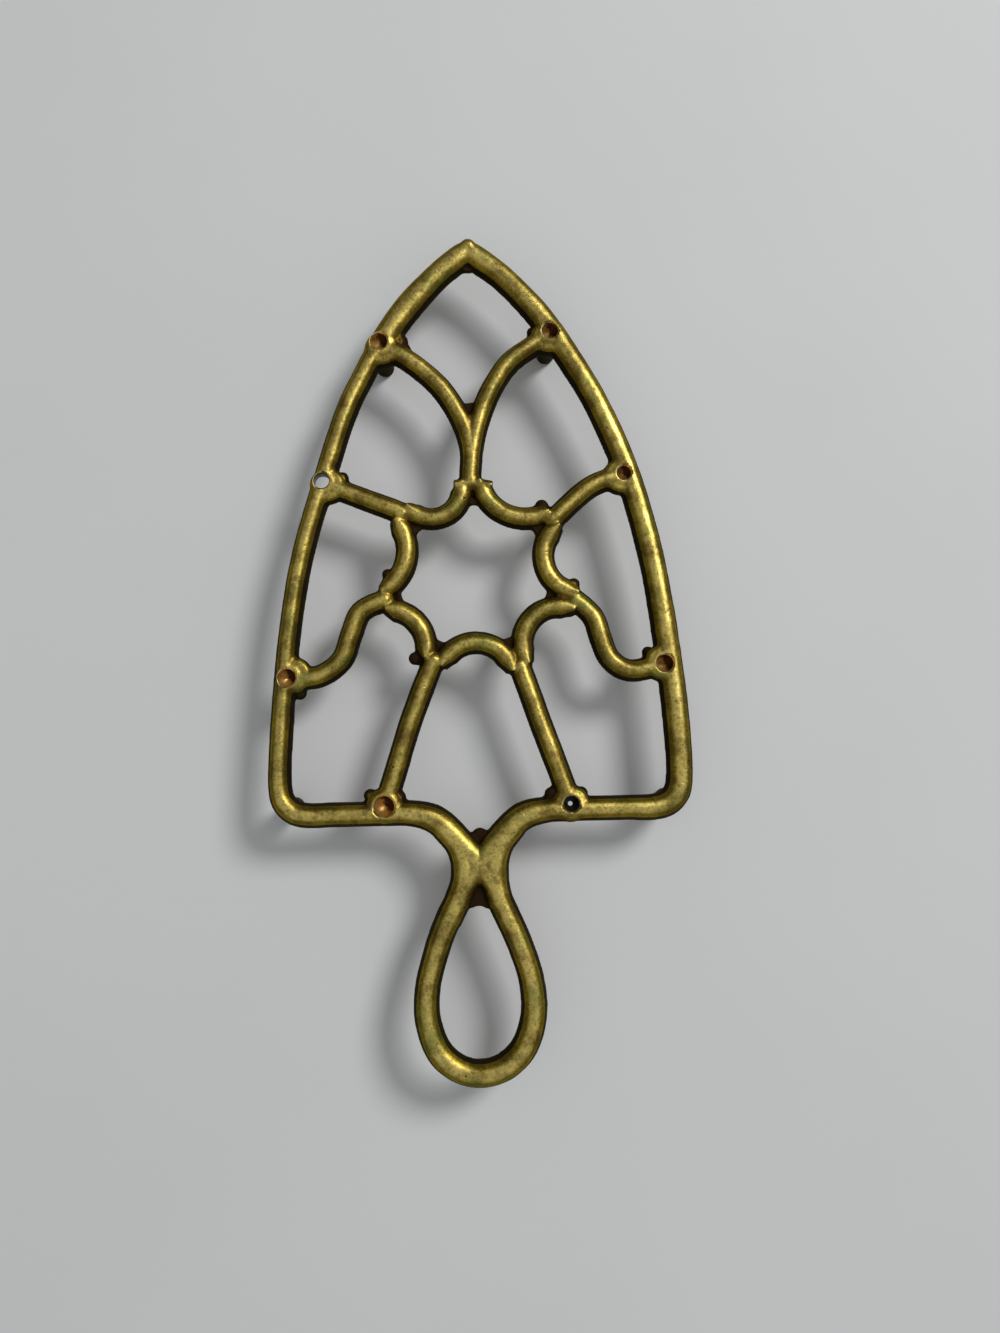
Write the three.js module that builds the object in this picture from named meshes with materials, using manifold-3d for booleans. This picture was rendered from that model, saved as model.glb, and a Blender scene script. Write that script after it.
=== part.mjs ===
// A handled brass trivet for a flat iron: a pointed openwork plate, a teardrop loop and four feet.
// Millimetres, +Z up. The tip points to +Y, the loop to -Y, and the feet stand on z = 0.
// The plate is one sand casting. Its members are separate meshes, a joint gap apart.
import * as THREE from "three";
import { mergeVertices } from "three/addons/utils/BufferGeometryUtils.js";
import Module from "manifold-3d";

const wasm = await Module();
wasm.setup();

// Heights
const FOOT_HEIGHT = 13.4;
const FRAME_THICKNESS = 4.6;
const LATTICE_THICKNESS = 4.3;
const BOSS_THICKNESS = 3.9;
const WEB_THICKNESS = 3.2;

// Bar widths at the underside
const TIP_WIDTH = 7.9;
const LEFT_RAIL_WIDTH = 6.8;
const RIGHT_RAIL_WIDTH = 7.8;
const REAR_BAR_WIDTH = 7.3;
const NECK_ARM_WIDTH = 8.2;
const LOOP_WIDTH = 7.6;
const SPOKE_WIDTH = 7;
const RING_WIDTH = 6.8;

// Section of every bar: drafted walls, rounded shoulders and a flat worn crest
const WALL_DRAFT = 0.9;
const CREST_WIDTH = 2.2;
const SHOULDER_DROP = 2;

// The gap between two members of the casting
const JOINT_GAP = 0.3;

// Plan of the frame's centre lines. The body lies between the rails at their rear corners, the rear
// bars and the tip. A point of it is given by its share of the body's width, from the tip's line, and
// of the body's length, from the rear bars. The tip's two halves overlap a little.
const BODY_WIDTH = 112;
const BODY_LENGTH = 163;
const REAR_Y = -46.5;
const TIP = at(0.003, 1);
const TIP_OVERLAP = 0.1;
const LEFT_TIP_BENDS = [at(-0.083, 0.958), at(-0.163, 0.899)];
const RIGHT_TIP_BENDS = [at(0.092, 0.956), at(0.173, 0.896)];
const LEFT_RAIL_BENDS = [
  at(-0.229, 0.831),
  at(-0.314, 0.715),
  at(-0.379, 0.58),
  at(-0.436, 0.445),
  at(-0.468, 0.304),
  at(-0.487, 0.163),
];
const RIGHT_RAIL_BENDS = [
  at(0.229, 0.844),
  at(0.334, 0.715),
  at(0.407, 0.586),
  at(0.457, 0.445),
  at(0.487, 0.304),
  at(0.505, 0.163),
];
const LEFT_SIDE_X = -0.491 * BODY_WIDTH;
const RIGHT_SIDE_X = 0.509 * BODY_WIDTH;
const CORNER_RADIUS = 7.5;
const CORNER_RUN = 4;

// The neck, where the two rear bars cross over and become the loop's sides. A fall is a distance
// from the rear bars' line towards the loop.
const NECK_START_X = 18;
const NECK_SHOULDER_X = 11.5;
const NECK_SHOULDER_FALL = 2.4;
const CROSSING_FALL = 15;
const WAIST_FALL = 17;
const WAIST_WIDTH = 15.6;
const WAIST_LENGTH = 20;
const CROSSING = point(0, REAR_Y - CROSSING_FALL);

// The loop's sides, mirrored about its own line. Each bend has its share of the reach of a side's
// centre line and of the loop's length from the neck.
const LOOP_CENTRE_X = -0.6;
const LOOP_START_FALL = 29.5;
const LOOP_LENGTH = 41.8;
const LOOP_REACH = 14.8;
const LOOP_BENDS = [
  { across: 0.554, along: 0 },
  { across: 0.797, along: 0.203 },
  { across: 0.986, along: 0.431 },
  { across: 1, along: 0.634 },
  { across: 0.791, along: 0.847 },
  { across: 0.412, along: 0.967 },
];
const LOOP_START_Y = REAR_Y - LOOP_START_FALL;
const LOOP_END_Y = LOOP_START_Y - LOOP_LENGTH;

// Drilled bosses, where the spokes meet the frame. Inset moves a boss's disc inwards from its hole.
const BOSS_RADIUS = 5.2;
const BOSS_TAPER = 0.4;
const DRILL_POINT_ANGLE = THREE.MathUtils.degToRad(118);
const BLIND_DEPTH = 2;
const PIERCED_DEPTH = 3.1;
const THROUGH_DEPTH = BOSS_THICKNESS + 1;
const REAR_BOSS_RUN = 8;
const REAR_LEFT_BOSS_RISE = 2.1;
const REAR_RIGHT_BOSS_RISE = 1.5;
const REAR_BOSS_X = NECK_START_X + REAR_BOSS_RUN;
const REAR_LEFT_BOSS = point(-REAR_BOSS_X, REAR_Y + REAR_LEFT_BOSS_RISE);
const REAR_RIGHT_BOSS = point(REAR_BOSS_X, REAR_Y + REAR_RIGHT_BOSS_RISE);
const BOSSES = {
  front_left: { centre: at(-0.23, 0.831), hole: 2.4, depth: BLIND_DEPTH, inset: 1.8 },
  front_right: { centre: at(0.213, 0.847), hole: 2.3, depth: BLIND_DEPTH, inset: 0.8 },
  side_left: { centre: at(-0.38, 0.579), hole: 2.2, depth: THROUGH_DEPTH, inset: 1.8 },
  side_right: { centre: at(0.393, 0.586), hole: 2, depth: BLIND_DEPTH, inset: 0.8 },
  low_left: { centre: at(-0.47, 0.235), hole: 2.5, depth: BLIND_DEPTH, inset: 1.8 },
  low_right: { centre: at(0.479, 0.247), hole: 2.4, depth: BLIND_DEPTH, inset: 0 },
  rear_left: { centre: REAR_LEFT_BOSS, hole: 2.8, depth: BLIND_DEPTH, inset: 0 },
  rear_right: { centre: REAR_RIGHT_BOSS, hole: 2.2, depth: PIERCED_DEPTH, inset: 0 },
};

// The seven-cusped star ring. The bar from each cusp to the next bows towards the centre.
const STAR_CENTRE = at(0.011, 0.406);
const CUSPS = {
  front: { place: at(-0.003, 0.58), bow: 6.8 },
  left_upper: { place: at(-0.183, 0.524), bow: 5.4 },
  left: { place: at(-0.23, 0.368), bow: 4.6 },
  left_lower: { place: at(-0.106, 0.257), bow: 7.7 },
  right_lower: { place: at(0.116, 0.245), bow: 7.8 },
  right: { place: at(0.264, 0.36), bow: 7.3 },
  right_upper: { place: at(0.211, 0.509), bow: 5.8 },
};
const CUSP_SPREAD = 2;
const CUSP_BITE = 2;

// Bends of the spokes, from boss to cusp
const STEM_TOP = at(0, 0.656);
const SPOKE_BENDS = {
  front_left: [at(-0.171, 0.808), at(-0.119, 0.781), at(-0.066, 0.745), STEM_TOP],
  front_right: [at(0.169, 0.826), at(0.107, 0.797), at(0.056, 0.745), STEM_TOP],
  side_left: [at(-0.286, 0.553)],
  side_right: [at(0.313, 0.568)],
  low_left: [at(-0.391, 0.239), at(-0.336, 0.266), at(-0.312, 0.309), at(-0.289, 0.349)],
  low_right: [at(0.389, 0.237), at(0.343, 0.258), at(0.322, 0.294), at(0.305, 0.333)],
  rear_left: [at(-0.207, 0.064), at(-0.166, 0.153)],
  rear_right: [at(0.205, 0.064), at(0.16, 0.153)],
};

// Feet
const FOOT_TIP_RADIUS = 2.6;
const FOOT_TOP_RADIUS = 3.3;
const FOOT_EDGE = 0.4;

// Steps of a sweep and sides of a round piece
const SWEEP_STEP = 3.6;
const ARC_POINTS = 9;
const ROUND_SIDES = 32;
const SHOULDER_SIDES = 3;

const BRASS = 0x8f7d38;
const DARK_BRASS = 0x6f5f2c;

// Points on the plan

function point(x, y) {
  return new THREE.Vector3(x, y, 0);
}

function at(across, along) {
  return point(across * BODY_WIDTH, REAR_Y + along * BODY_LENGTH);
}

function curveThrough(points) {
  return new THREE.CatmullRomCurve3(points, false, "centripetal");
}

// Points of a circular arc from start to end that bows to the left of that direction.
function arcPoints(start, end, bow) {
  const along = new THREE.Vector3().subVectors(end, start);
  const half = along.length() / 2;
  along.normalize();
  const bowed = point(-along.y, along.x);
  const radius = (half * half + bow * bow) / (2 * bow);
  const reach = Math.asin(Math.min(1, half / radius));
  const centre = start.clone().lerp(end, 0.5).addScaledVector(bowed, bow - radius);
  const points = [];
  for (let i = 0; i < ARC_POINTS; i++) {
    const angle = reach * ((2 * i) / (ARC_POINTS - 1) - 1);
    const place = centre.clone();
    place.addScaledVector(bowed, radius * Math.cos(angle));
    place.addScaledVector(along, radius * Math.sin(angle));
    points.push(place);
  }
  return points;
}

// Solids

function solidOf(geometry) {
  geometry.deleteAttribute("normal");
  geometry.deleteAttribute("uv");
  const merged = mergeVertices(geometry, 1e-4);
  const mesh = new wasm.Mesh({
    numProp: 3,
    vertProperties: merged.attributes.position.array,
    triVerts: new Uint32Array(merged.index.array),
  });
  return new wasm.Manifold(mesh);
}

function geometryOf(solid) {
  const { vertProperties, triVerts } = solid.getMesh();
  const geometry = new THREE.BufferGeometry();
  geometry.setAttribute("position", new THREE.BufferAttribute(vertProperties, 3));
  geometry.setIndex(new THREE.BufferAttribute(triVerts, 1));
  const faceted = geometry.toNonIndexed();
  faceted.computeVertexNormals();
  return faceted;
}

function joined(solids) {
  return solids.reduce((all, solid) => all.add(solid));
}

function cut(solid, cutters) {
  return cutters.reduce((left, cutter) => left.subtract(cutter), solid);
}

// The bar's section: x is minus the height over the underside, y runs across the bar.
function barSection(width, thickness) {
  const half = width / 2;
  const wall = half - WALL_DRAFT;
  const crest = Math.min(CREST_WIDTH / 2, wall);
  const shoulder = thickness - Math.min(SHOULDER_DROP, thickness / 2);
  const section = new THREE.Shape();
  section.moveTo(0, -half);
  section.lineTo(0, half);
  section.lineTo(-shoulder, wall);
  section.quadraticCurveTo(-thickness, wall, -thickness, crest);
  section.lineTo(-thickness, -crest);
  section.quadraticCurveTo(-thickness, -wall, -shoulder, -wall);
  section.closePath();
  return section;
}

// A bar along a plan curve.
function bar(path, width, thickness, underside = FOOT_HEIGHT) {
  const steps = Math.max(4, Math.round(path.getLength() / SWEEP_STEP));
  const options = { steps, curveSegments: SHOULDER_SIDES, extrudePath: path };
  const geometry = new THREE.ExtrudeGeometry(barSection(width, thickness), options);
  geometry.translate(0, 0, underside);
  return solidOf(geometry);
}

// The room that its neighbours leave a bar, from under the plate to well over it.
function barRoom(path, width, thickness) {
  return bar(path, width + 2 * JOINT_GAP, 3 * thickness, FOOT_HEIGHT - JOINT_GAP);
}

// A turned solid from [radius, height] pairs, standing at a plan point and height.
function turned(profile, centre, height) {
  const outline = profile.map(([radius, z]) => new THREE.Vector2(radius, z));
  const geometry = new THREE.LatheGeometry(outline, ROUND_SIDES);
  geometry.rotateX(Math.PI / 2);
  geometry.translate(centre.x, centre.y, height);
  return solidOf(geometry);
}

// The part of a solid between two bounds along x or y.
function kept(solid, axis, from, to) {
  const beyond = 4 * (BODY_WIDTH + BODY_LENGTH);
  const size = new THREE.Vector3(beyond, beyond, beyond);
  const centre = new THREE.Vector3();
  size[axis] = to - from;
  centre[axis] = (from + to) / 2;
  const geometry = new THREE.BoxGeometry(size.x, size.y, size.z);
  geometry.translate(centre.x, centre.y, centre.z);
  return solid.intersect(solidOf(geometry));
}

// Bosses and their drilled holes

function discCentre({ centre, inset }) {
  const inwards = new THREE.Vector3().subVectors(STAR_CENTRE, centre).normalize();
  return centre.clone().addScaledVector(inwards, inset);
}

function bossDisc(boss) {
  const profile = [
    [0, 0],
    [BOSS_RADIUS, 0],
    [BOSS_RADIUS - BOSS_TAPER, BOSS_THICKNESS],
    [0, BOSS_THICKNESS],
  ];
  return turned(profile, discCentre(boss), FOOT_HEIGHT);
}

// The room that the spokes leave a boss, from under the plate to over it.
function bossRoom(boss) {
  const radius = BOSS_RADIUS + JOINT_GAP;
  const top = FRAME_THICKNESS + JOINT_GAP;
  const profile = [
    [0, -JOINT_GAP],
    [radius, -JOINT_GAP],
    [radius - BOSS_TAPER, top],
    [0, top],
  ];
  return turned(profile, discCentre(boss), FOOT_HEIGHT);
}

// A drilled hole with a conical bottom, open at the top.
function drilledHole({ centre, hole, depth }) {
  const coneLength = hole / Math.tan(DRILL_POINT_ANGLE / 2);
  const profile = [
    [0, -depth - coneLength],
    [hole, -depth],
    [hole, FRAME_THICKNESS],
    [0, FRAME_THICKNESS],
  ];
  return turned(profile, centre, FOOT_HEIGHT + BOSS_THICKNESS);
}

function withBosses(solid, names) {
  const bosses = names.map((name) => BOSSES[name]);
  const bossed = joined([solid, ...bosses.map(bossDisc)]);
  return cut(bossed, bosses.map(drilledHole));
}

// Tip: an arch of two bars that meet in a point, between the two front bosses

function tipCurve(bends, boss) {
  const overTip = TIP.clone().lerp(bends[0], -0.4);
  return curveThrough([overTip, TIP, ...bends, boss.centre]);
}

const leftTipPath = tipCurve(LEFT_TIP_BENDS, BOSSES.front_left);
const rightTipPath = tipCurve(RIGHT_TIP_BENDS, BOSSES.front_right);
const tipRooms = [
  barRoom(leftTipPath, TIP_WIDTH, FRAME_THICKNESS),
  barRoom(rightTipPath, TIP_WIDTH, FRAME_THICKNESS),
  bossRoom(BOSSES.front_left),
  bossRoom(BOSSES.front_right),
];

function tipArch() {
  const leftBar = bar(leftTipPath, TIP_WIDTH, FRAME_THICKNESS);
  const rightBar = bar(rightTipPath, TIP_WIDTH, FRAME_THICKNESS);
  const left = kept(leftBar, "x", 2 * LEFT_SIDE_X, TIP.x + TIP_OVERLAP / 2);
  const right = kept(rightBar, "x", TIP.x - TIP_OVERLAP / 2, 2 * RIGHT_SIDE_X);
  return withBosses(left.add(right), ["front_left", "front_right"]);
}

// Rails: each runs from its front boss down its side and round its rear corner

function cornerPoint(sideX, degrees) {
  const outward = Math.sign(sideX);
  const turn = THREE.MathUtils.degToRad(degrees);
  const x = sideX - outward * CORNER_RADIUS * (1 - Math.cos(turn));
  const y = REAR_Y + CORNER_RADIUS * (1 - Math.sin(turn));
  return point(x, y);
}

function cornerEndX(sideX) {
  return sideX - Math.sign(sideX) * (CORNER_RADIUS + CORNER_RUN);
}

function railCurve(bends, sideX) {
  const corner = [0, 30, 60, 90].map((degrees) => cornerPoint(sideX, degrees));
  const end = point(cornerEndX(sideX), REAR_Y);
  return curveThrough([...bends, ...corner, end]);
}

const railPaths = {
  left: railCurve(LEFT_RAIL_BENDS, LEFT_SIDE_X),
  right: railCurve(RIGHT_RAIL_BENDS, RIGHT_SIDE_X),
};
const railRooms = [
  barRoom(railPaths.left, LEFT_RAIL_WIDTH, FRAME_THICKNESS),
  barRoom(railPaths.right, RIGHT_RAIL_WIDTH, FRAME_THICKNESS),
];

function leftRail() {
  const whole = bar(railPaths.left, LEFT_RAIL_WIDTH, FRAME_THICKNESS);
  return withBosses(cut(whole, tipRooms), ["side_left", "low_left"]);
}

function rightRail() {
  const whole = bar(railPaths.right, RIGHT_RAIL_WIDTH, FRAME_THICKNESS);
  return withBosses(cut(whole, tipRooms), ["side_right", "low_right"]);
}

// Rear bars: each is straight, from its corner to the neck

function rearBar(sideX, boss) {
  const outward = Math.sign(sideX);
  const from = point(cornerEndX(sideX) - outward * JOINT_GAP, REAR_Y);
  const to = point(outward * (NECK_START_X + JOINT_GAP / 2), REAR_Y);
  const whole = bar(new THREE.LineCurve3(from, to), REAR_BAR_WIDTH, FRAME_THICKNESS);
  return withBosses(whole, [boss]);
}

// Neck: the two arms cross, with a thinner web filling their crotches and widening the waist

function loopPoint(index, side) {
  const { across, along } = LOOP_BENDS[index];
  return point(LOOP_CENTRE_X + side * across * LOOP_REACH, LOOP_START_Y - along * LOOP_LENGTH);
}

// An arm comes in from one side and leaves as the loop's other side.
function neckArm(side) {
  const path = curveThrough([
    point(side * (NECK_START_X + NECK_ARM_WIDTH), REAR_Y),
    point(side * NECK_START_X, REAR_Y),
    point(side * NECK_SHOULDER_X, REAR_Y - NECK_SHOULDER_FALL),
    CROSSING,
    loopPoint(0, -side),
    loopPoint(1, -side),
  ]);
  return bar(path, NECK_ARM_WIDTH, FRAME_THICKNESS);
}

function neckWeb() {
  const outline = new THREE.Shape();
  outline.absellipse(0, 0, WAIST_WIDTH / 2, WAIST_LENGTH / 2, 0, 2 * Math.PI);
  const options = { depth: WEB_THICKNESS, bevelEnabled: false, curveSegments: ROUND_SIDES / 2 };
  const geometry = new THREE.ExtrudeGeometry(outline, options);
  geometry.translate(0, REAR_Y - WAIST_FALL, FOOT_HEIGHT);
  return solidOf(geometry);
}

function neck() {
  const whole = joined([neckArm(-1), neckArm(1), neckWeb()]);
  const between = kept(whole, "x", -NECK_START_X + JOINT_GAP / 2, NECK_START_X - JOINT_GAP / 2);
  return kept(between, "y", LOOP_START_Y + JOINT_GAP / 2, 0);
}

// Loop: a teardrop, open where the neck closes it

function handleLoop() {
  const order = LOOP_BENDS.map((bend, index) => index);
  const before = CROSSING.clone().lerp(loopPoint(0, 1), 0.7);
  const after = CROSSING.clone().lerp(loopPoint(0, -1), 0.7);
  const path = curveThrough([
    before,
    ...order.map((index) => loopPoint(index, 1)),
    point(LOOP_CENTRE_X, LOOP_END_Y),
    ...order.reverse().map((index) => loopPoint(index, -1)),
    after,
  ]);
  const whole = bar(path, LOOP_WIDTH, FRAME_THICKNESS);
  return kept(whole, "y", 2 * LOOP_END_Y, LOOP_START_Y - JOINT_GAP / 2);
}

// Star ring

// A cusp's place, moved anticlockwise round the star by a spread and towards its centre by a bite.
function cuspPoint({ place }, spread, bite = 0) {
  const outward = new THREE.Vector3().subVectors(place, STAR_CENTRE).normalize();
  const sideways = point(-outward.y, outward.x);
  return place.clone().addScaledVector(sideways, spread).addScaledVector(outward, -bite);
}

const cusps = Object.values(CUSPS);
const arcPaths = cusps.map((cusp, index) => {
  const next = cusps[(index + 1) % cusps.length];
  const start = cuspPoint(cusp, CUSP_SPREAD);
  const end = cuspPoint(next, -CUSP_SPREAD);
  return curveThrough(arcPoints(start, end, cusp.bow));
});
const arcRooms = arcPaths.map((path) => barRoom(path, RING_WIDTH, LATTICE_THICKNESS));

function starRing() {
  return joined(arcPaths.map((path) => bar(path, RING_WIDTH, LATTICE_THICKNESS)));
}

// Spokes: each starts in its boss, follows its bends and ends against a cusp of the star

function spokeCurve(boss, cusp) {
  const end = cuspPoint(CUSPS[cusp], 0, CUSP_BITE);
  return curveThrough([BOSSES[boss].centre, ...SPOKE_BENDS[boss], CUSPS[cusp].place, end]);
}

function spokeBar(path) {
  return bar(path, SPOKE_WIDTH, LATTICE_THICKNESS);
}

function trimmedSpoke(solid, bosses) {
  const bossRooms = bosses.map((name) => bossRoom(BOSSES[name]));
  return cut(solid, [...tipRooms, ...railRooms, ...bossRooms, ...arcRooms]);
}

function spoke(boss, cusp) {
  return trimmedSpoke(spokeBar(spokeCurve(boss, cusp)), [boss]);
}

// The front spoke forks into an arm for each front boss.
function frontFork() {
  const arms = ["front_left", "front_right"].map((boss) => spokeBar(spokeCurve(boss, "front")));
  return trimmedSpoke(joined(arms), []);
}

// Feet

function foot(centre) {
  const profile = [
    [0, 0],
    [FOOT_TIP_RADIUS - FOOT_EDGE, 0],
    [FOOT_TIP_RADIUS, FOOT_EDGE],
    [FOOT_TOP_RADIUS, FOOT_HEIGHT],
    [0, FOOT_HEIGHT],
  ];
  return turned(profile, centre, 0);
}

// The assembly

const rearCorner = { left: cornerPoint(LEFT_SIDE_X, 45), right: cornerPoint(RIGHT_SIDE_X, 45) };

const frame = {
  frame_tip: tipArch(),
  frame_left_rail: leftRail(),
  frame_right_rail: rightRail(),
  rear_left_bar: rearBar(LEFT_SIDE_X, "rear_left"),
  rear_right_bar: rearBar(RIGHT_SIDE_X, "rear_right"),
  neck: neck(),
  handle_loop: handleLoop(),
};

const lattice = {
  star_ring: starRing(),
  front_fork: frontFork(),
  left_upper_spoke: spoke("side_left", "left_upper"),
  right_upper_spoke: spoke("side_right", "right_upper"),
  left_scroll_spoke: spoke("low_left", "left"),
  right_scroll_spoke: spoke("low_right", "right"),
  left_lower_spoke: spoke("rear_left", "left_lower"),
  right_lower_spoke: spoke("rear_right", "right_lower"),
};

const feet = {
  front_left_foot: foot(discCentre(BOSSES.front_left)),
  front_right_foot: foot(discCentre(BOSSES.front_right)),
  rear_left_foot: foot(rearCorner.left),
  rear_right_foot: foot(rearCorner.right),
};

function brass(color, roughness) {
  return new THREE.MeshStandardMaterial({ color, roughness, metalness: 0.9 });
}

function meshGroup(solids, color, roughness) {
  const group = new THREE.Group();
  for (const [name, solid] of Object.entries(solids)) {
    const mesh = new THREE.Mesh(geometryOf(solid), brass(color, roughness));
    mesh.name = name;
    group.add(mesh);
  }
  return group;
}

const group = new THREE.Group();
group.name = "brass_trivet";
group.add(meshGroup(frame, BRASS, 0.4));
group.add(meshGroup(lattice, BRASS, 0.45));
group.add(meshGroup(feet, DARK_BRASS, 0.6));

// The origin lies on the floor under the middle of the outline.
const outline = new THREE.Box3().setFromObject(group);
const middle = outline.getCenter(new THREE.Vector3());
group.position.set(-middle.x, -middle.y, 0);

export default group;
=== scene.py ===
"""The looks of a handled brass trivet: one aged casting with drilled bosses, on four feet."""

import math

import bmesh
import bpy
import numpy as np
from mathutils import Matrix, Vector, noise


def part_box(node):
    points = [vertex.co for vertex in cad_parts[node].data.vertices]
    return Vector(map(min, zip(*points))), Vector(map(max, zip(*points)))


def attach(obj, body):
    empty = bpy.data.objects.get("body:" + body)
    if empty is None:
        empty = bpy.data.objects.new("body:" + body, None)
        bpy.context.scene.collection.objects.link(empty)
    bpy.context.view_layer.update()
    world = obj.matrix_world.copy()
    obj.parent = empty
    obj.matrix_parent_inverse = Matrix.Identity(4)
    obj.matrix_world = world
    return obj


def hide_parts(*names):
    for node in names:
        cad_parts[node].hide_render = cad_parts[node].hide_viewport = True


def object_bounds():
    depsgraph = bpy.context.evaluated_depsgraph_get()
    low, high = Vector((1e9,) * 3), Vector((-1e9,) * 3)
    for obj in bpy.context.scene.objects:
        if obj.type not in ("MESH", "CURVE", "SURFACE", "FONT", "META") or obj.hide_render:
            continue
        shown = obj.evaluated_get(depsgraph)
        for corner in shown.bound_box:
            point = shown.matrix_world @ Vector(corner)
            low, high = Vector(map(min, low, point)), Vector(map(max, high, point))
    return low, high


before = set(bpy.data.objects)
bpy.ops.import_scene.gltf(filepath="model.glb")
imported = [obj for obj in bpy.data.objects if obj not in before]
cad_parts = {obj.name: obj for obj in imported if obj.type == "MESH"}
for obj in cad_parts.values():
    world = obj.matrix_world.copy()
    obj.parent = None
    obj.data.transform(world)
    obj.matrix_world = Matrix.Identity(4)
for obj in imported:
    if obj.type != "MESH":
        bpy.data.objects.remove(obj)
cad_low, cad_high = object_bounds()

MM = 0.001

# The plan below is drawn about the tip's and the loop's line; this moves it to the frame's origin
PLAN_SHIFT = Vector((-1.26, 0.04, 0))

# Heights in millimetres, as are all sizes and places of the object below
FOOT_HEIGHT = 13.4
FRAME_THICKNESS = 4.6
LATTICE_THICKNESS = 4.3
BOSS_THICKNESS = 3.9
WEB_THICKNESS = 1.8
FILL_THICKNESS = 2.0
TOP = FOOT_HEIGHT + FRAME_THICKNESS
BOSS_TOP = FOOT_HEIGHT + BOSS_THICKNESS

# Section of a bar: the side walls lean in to an edge, and a round crown closes them
WALL_SHARE = 0.62
WALL_DRAFT = 0.95
EDGE_ROUNDING = 0.3
CROWN_START = math.radians(28)
CROWN_STEPS = 14

# Spacing of a bar's rings, and the facets and least radius of turned solids
RING_SPACING = 0.7
TURNED_SIDES = 48
LEAST_RADIUS = 0.05

# The cell of the mesh that joins the bars, how it is smoothed, and the share of its faces kept
VOXEL = 0.44
SMOOTH_SHARE = 0.5
SMOOTH_ROUNDS = 3
KEPT_SHARE = 0.66

# Plan of the frame: x, y and the bar's width at its underside
LEFT_TIP = [
    (1.4, 118.5, 5.2),
    (-0.6, 116.5, 7.7),
    (-9.1, 109.3, 8.3),
    (-17.9, 99.6, 8.6),
    (-25.4, 88.9, 8.0),
]
RIGHT_TIP = [
    (-0.3, 118.5, 5.2),
    (1.3, 116.5, 7.8),
    (10.3, 109.3, 8.0),
    (19.3, 99.6, 8.2),
    (24.4, 92.6, 8.2),
]
LEFT_RAIL = [
    (-24.9, 90.4, 7.4),
    (-30.4, 80.0, 7.0),
    (-35.2, 70.0, 6.9),
    (-42.4, 48.0, 6.8),
    (-48.7, 26.0, 6.7),
    (-52.4, 3.0, 6.7),
    (-54.4, -20.0, 6.8),
    (-55.0, -39.0, 7.0),
    (-53.99, -42.75, 7.2),
    (-51.25, -45.5, 7.3),
    (-47.5, -46.5, 7.3),
    (-40.0, -46.5, 7.2),
]
RIGHT_RAIL = [
    (24.6, 92.4, 8.2),
    (31.6, 80.9, 8.0),
    (37.4, 70.0, 7.9),
    (45.6, 49.0, 7.9),
    (51.2, 26.0, 7.9),
    (54.5, 3.0, 8.0),
    (56.6, -20.0, 8.0),
    (56.95, -39.0, 7.9),
    (55.99, -42.75, 8.0),
    (53.25, -45.5, 7.8),
    (49.5, -46.5, 7.6),
    (42.0, -46.5, 7.3),
]
LEFT_REAR = [
    (-43.0, -46.5, 7.2),
    (-26.0, -46.5, 7.3),
    (-18.5, -46.6, 7.6),
    (-11.9, -48.6, 8.3),
    (-5.3, -55.0, 8.5),
    (0.4, -61.6, 8.2),
    (4.1, -66.9, 7.8),
    (5.6, -71.3, 7.6),
    (7.9, -76.5, 7.6),
]
RIGHT_REAR = [
    (45.0, -46.5, 7.3),
    (26.0, -46.5, 7.3),
    (18.5, -46.6, 7.6),
    (12.1, -48.4, 8.3),
    (5.3, -54.8, 8.5),
    (-0.4, -61.6, 8.2),
    (-4.2, -66.9, 7.8),
    (-6.3, -71.3, 7.6),
    (-8.9, -76.5, 7.6),
]
LOOP = [
    (5.2, -70.3, 7.6),
    (7.7, -76.0, 7.6),
    (11.2, -84.5, 7.5),
    (13.8, -94.0, 7.5),
    (14.0, -102.5, 7.7),
    (10.9, -111.2, 8.0),
    (5.4, -116.0, 8.0),
    (-0.6, -117.45, 8.0),
    (-6.6, -116.1, 8.0),
    (-12.0, -111.4, 7.9),
    (-15.1, -102.5, 7.5),
    (-14.9, -94.0, 7.3),
    (-12.4, -84.5, 7.4),
    (-9.0, -76.0, 7.6),
    (-6.0, -70.3, 7.6),
]

# The sides of the waist, where the arms pass into the loop
LEFT_WAIST = [
    (-9.6, -50.6, 8.2),
    (-5.7, -55.6, 8.2),
    (-4.2, -60.0, 8.2),
    (-4.0, -63.0, 8.2),
    (-4.5, -66.8, 8.2),
    (-6.5, -71.6, 8.0),
]
RIGHT_WAIST = [
    (9.8, -50.6, 8.2),
    (5.9, -55.6, 8.2),
    (4.4, -60.0, 8.2),
    (4.2, -63.0, 8.2),
    (4.3, -66.8, 8.2),
    (5.6, -71.8, 7.8),
]
FRAME_BARS = [
    LEFT_TIP,
    RIGHT_TIP,
    LEFT_RAIL,
    RIGHT_RAIL,
    LEFT_REAR,
    RIGHT_REAR,
    LEFT_WAIST,
    RIGHT_WAIST,
    LOOP,
]

# The thin web in the notch over the waist: its place, radius, and the width and drop of its edge
NOTCH_WEB = (0.3, -53.4)
NOTCH_WEB_RADIUS = 2.4
WEB_EDGE_WIDTH = 0.6
WEB_EDGE_DROP = 0.5
WEB_SIDES = 24

# Round ends where bars meet: the tip's middle, the widths there and at the star's cusps, and how
# far a cusp's end lies inwards from the cusp
TIP_MIDDLE = (0.5, 118.1)
TIP_CAP_WIDTH = 6.2
CUSP_CAP_WIDTH = 7.4
CUSP_CAP_PULL = 0.4

# Low metal that rounds each sharp corner: its radius in the frame and in the lattice, the spacing
# and sides of the posts that make it, and how many posts have to stand within a reach of each one
FRAME_FILL = 3.4
LATTICE_FILL = 1.4
FILL_SPACING = 0.25
POST_SIDES = 6
CROWD = 6
CROWD_REACH = 2.1 * FILL_SPACING

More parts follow.
